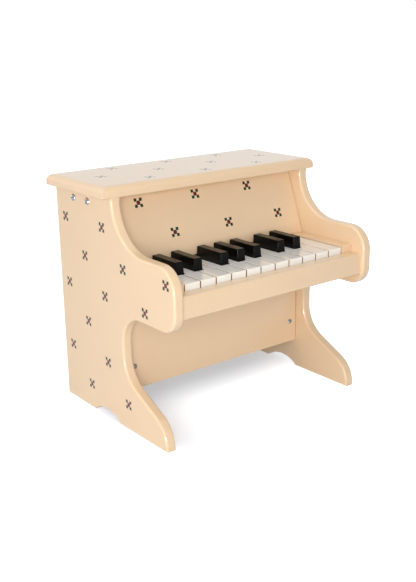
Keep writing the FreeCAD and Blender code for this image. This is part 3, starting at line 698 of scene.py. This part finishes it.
# Felt strips: a flat foot and a crowned top, which falls from the middle by the square of the way to its
# long edges and then rounds off softly. The edge takes no more than its share of a thin strip.
feltStrip = {"edge": 1.1 * mm, "edgeShare": 0.45, "foot": 0.2 * mm, "crown": 0.18 * mm, "endEdge": 0.3 * mm}
foot, end = feltStrip["foot"], feltStrip["endEdge"]
for name in ("key_rest_felt", "front_stop_felt"):
    low, high = boxOf(name)
    deep, tall = high[1] - low[1], high[2] - low[2]
    soft = min(feltStrip["edge"], tall * feltStrip["edgeShare"])
    loop = roundedLoop(rectangle(low[1:], high[1:], (foot, foot, soft, soft)), turnStep=math.radians(12))
    crown = feltStrip["crown"] * (2 * (loop[:, 0] - low[1]) / deep - 1) ** 2
    loop[:, 1] -= crown * (loop[:, 1] - low[2]) / tall
    rings = boardRings(loop, low[0], high[0], end, end, steps=3)
    piece = addPiece(name + "_strip", [shellOf(rings, alongX)], woolFelt, "cabinet", name)
print("felts made")

# What stays as the frame has it gets its finish
hammers = [name for name in nodes if name.startswith("hammer_") and name[-1].isdigit()]
carried = {
    softwood: ["key_bed", "top_rail", "corner_cleats", "key_rest_rail"],
    drawnSteel: ["balance_rod", "hammer_rod"],
    toneSteel: ["tone_rods"],
    castZinc: ["tone_block"],
    hammerPlastic: ["hammer_comb"] + hammers,
}
for material, names in carried.items():
    for name in names:
        nodes[name].data.materials.clear()
        nodes[name].data.materials.append(material)
print("finishes set on carried nodes")

# Stage, light and camera

# The floor's glow rises with the way beside and before a corner that lies under the left side, behind the
# knee panel, and with the way around from the piano's middle. Each pair says where its rise starts and ends.
stage = {
    "size": 12.0, "floorHeight": -0.1 * mm, "floorColour": "dcdfe4", "seenColour": "e3ebf8",
    "nearGlow": 0.37, "farGlow": 0.80, "mirroredGlow": 0.28, "corner": (-0.134, 0.055, 0.0),
    "beside": (0.0, 0.12), "before": (0.0, 0.075), "around": (0.13, 0.20),
    "worldLight": 0.45, "roomShade": 0.3, "roomTurn": 0.3,
}


# Shares of the light path: straight to the camera, and by way of a mirroring or clear surface
def seenShares(tree):
    path = addNode(tree, "LightPath").outputs
    mirrored = addNode(tree, "Math", {0: path["Is Glossy Ray"], 1: path["Is Transmission Ray"]},
                       operation="ADD")
    return path["Is Camera Ray"], mirrored.outputs[0]


# A pale matt floor, lifted to white for the camera. The lift is less beside the left foot and along the knee
# panel, where the shadow stays.
def makeFloor():
    half, under = stage["size"] / 2, stage["floorHeight"]
    mesh = bpy.data.meshes.new("floor")
    corners = [(-half, -half, under), (half, -half, under), (half, half, under), (-half, half, under)]
    mesh.from_pydata(corners, [], [(0, 1, 2, 3)])
    floor = bpy.data.objects.new("floor", mesh)
    bpy.context.scene.collection.objects.link(floor)
    material = bpy.data.materials.new("white studio floor")
    material.use_nodes = True
    tree = material.node_tree
    tree.nodes.clear()
    seen, mirrored = seenShares(tree)
    lit, shown = linear(stage["floorColour"]), linear(stage["seenColour"])
    colour = addNode(tree, "Mix", {0: seen, 6: lit, 7: shown}, data_type="RGBA")
    matte = addNode(tree, "BsdfDiffuse", {"Color": colour.outputs[2]})
    place = addNode(tree, "TexCoord").outputs["Object"]
    offset = addNode(tree, "VectorMath", {0: place, 1: stage["corner"]}, operation="SUBTRACT").outputs[0]
    folded = addNode(tree, "VectorMath", {0: offset}, operation="ABSOLUTE").outputs[0]
    ways = addNode(tree, "SeparateXYZ", {0: folded}).outputs
    away = addNode(tree, "VectorMath", {0: place}, operation="LENGTH").outputs["Value"]
    rises = []
    spans = (stage["beside"], stage["before"], stage["around"])
    for way, (start, end) in zip((ways[0], ways[1], away), spans):
        rises.append(addNode(tree, "MapRange", {"Value": way, "From Min": start, "From Max": end},
                             interpolation_type="SMOOTHSTEP").outputs[0])
    beside, before, around = rises
    clear = addNode(tree, "Math", {0: beside, 1: before}, operation="MULTIPLY").outputs[0]
    most = addNode(tree, "Math", {0: clear, 1: around}, operation="MAXIMUM").outputs[0]
    ramp = addNode(tree, "MapRange", {"Value": most, "To Min": stage["nearGlow"], "To Max": stage["farGlow"]})
    reflected = addNode(tree, "Math", {0: mirrored, 1: stage["mirroredGlow"]}, operation="MULTIPLY")
    strength = addNode(tree, "Math", {0: seen, 1: ramp.outputs[0], 2: reflected.outputs[0]},
                       operation="MULTIPLY_ADD")
    glow = addNode(tree, "Emission", {"Strength": strength.outputs[0]})
    both = addNode(tree, "AddShader", {0: matte.outputs[0], 1: glow.outputs[0]})
    addNode(tree, "OutputMaterial", {"Surface": both.outputs[0]})
    mesh.materials.append(material)


# White behind the piano and to the camera, a dimmer room in front of it in reflections, and an even light
def makeWorld():
    world = bpy.data.worlds.new("white studio")
    world.use_nodes = True
    tree = world.node_tree
    tree.nodes.clear()
    toward = addNode(tree, "SeparateXYZ", {0: addNode(tree, "TexCoord").outputs["Object"]}).outputs["Y"]
    even, turn = stage["worldLight"], stage["roomTurn"]
    room = addNode(tree, "MapRange", {"Value": toward, "From Min": -turn, "From Max": turn,
                                      "To Min": stage["roomShade"] - even, "To Max": 1.0 - even}).outputs[0]
    seen, mirrored = seenShares(tree)
    shown = addNode(tree, "Math", {0: seen, 1: 1.0 - even, 2: even}, operation="MULTIPLY_ADD").outputs[0]
    strength = addNode(tree, "Math", {0: mirrored, 1: room, 2: shown}, operation="MULTIPLY_ADD").outputs[0]
    sky = addNode(tree, "Background", {"Color": (1, 1, 1, 1), "Strength": strength})
    addNode(tree, "OutputWorld", {"Surface": sky.outputs[0]})
    bpy.context.scene.world = world


# Soft boxes: where each stands, its width and height, its power, whether it lights the surfaces and whether
# they mirror it. The main and left ones stay out of reflections, where they would whiten the lid seen from
# behind. The edge strip, which stands below the lid, shows only in reflections, as bright lines on the rounded
# edges.
softBoxes = {
    "main softbox": {"at": (-0.85, -1.1, 0.45), "size": (0.7, 0.7), "power": 11.0,
                     "lights": True, "mirrored": False},
    "top softbox": {"at": (-0.3, -0.2, 2.2), "size": (1.0, 1.0), "power": 8.0,
                    "lights": True, "mirrored": True},
    "left softbox": {"at": (-1.4, -0.2, 0.5), "size": (0.6, 0.9), "power": 4.2,
                     "lights": True, "mirrored": False},
    "edge strip": {"at": (-0.9, -0.8, 0.13), "size": (0.2, 0.24), "power": 12.0,
                   "lights": False, "mirrored": True},
}
lampAim = Vector((0, 0, 0.12))


def makeLights():
    for name, box in softBoxes.items():
        lamp = bpy.data.lights.new(name, "AREA")
        lamp.shape = "RECTANGLE"
        lamp.size, lamp.size_y = box["size"]
        lamp.energy = box["power"]
        light = bpy.data.objects.new(name, lamp)
        bpy.context.scene.collection.objects.link(light)
        light.location = box["at"]
        light.visible_diffuse = box["lights"]
        light.visible_glossy = box["mirrored"]
        light.rotation_euler = (lampAim - Vector(box["at"])).to_track_quat("-Z", "Y").to_euler()


# The camera stands where the photograph was taken from, for an image of 416 by 582
view = {
    "at": (-0.6019, -0.7591, 0.4264), "ahead": (0.5871, 0.7534, -0.2962), "tip": math.radians(-0.79),
    "lens": 53.65, "sensor": 36.0, "clipStart": 0.01,
}


def makeCamera():
    camera = bpy.data.cameras.new("camera")
    camera.lens = view["lens"]
    camera.sensor_width = view["sensor"]
    camera.clip_start = view["clipStart"]
    holder = bpy.data.objects.new("camera", camera)
    bpy.context.scene.collection.objects.link(holder)
    ahead = Vector(view["ahead"]).normalized()
    right = ahead.cross(Vector((0, 0, 1))).normalized()
    up = right.cross(ahead)
    roll = math.asin(math.sin(view["tip"]) / up.z)
    cos, sin = math.cos(roll), math.sin(roll)
    turn = Matrix((right * cos + up * sin, up * cos - right * sin, -ahead)).transposed()
    holder.matrix_world = Matrix.Translation(view["at"]) @ turn.to_4x4()
    bpy.context.scene.camera = holder


makeFloor()
makeWorld()
makeLights()
makeCamera()
bpy.context.scene.view_settings.view_transform = "Standard"
print("stage, lights and camera set")
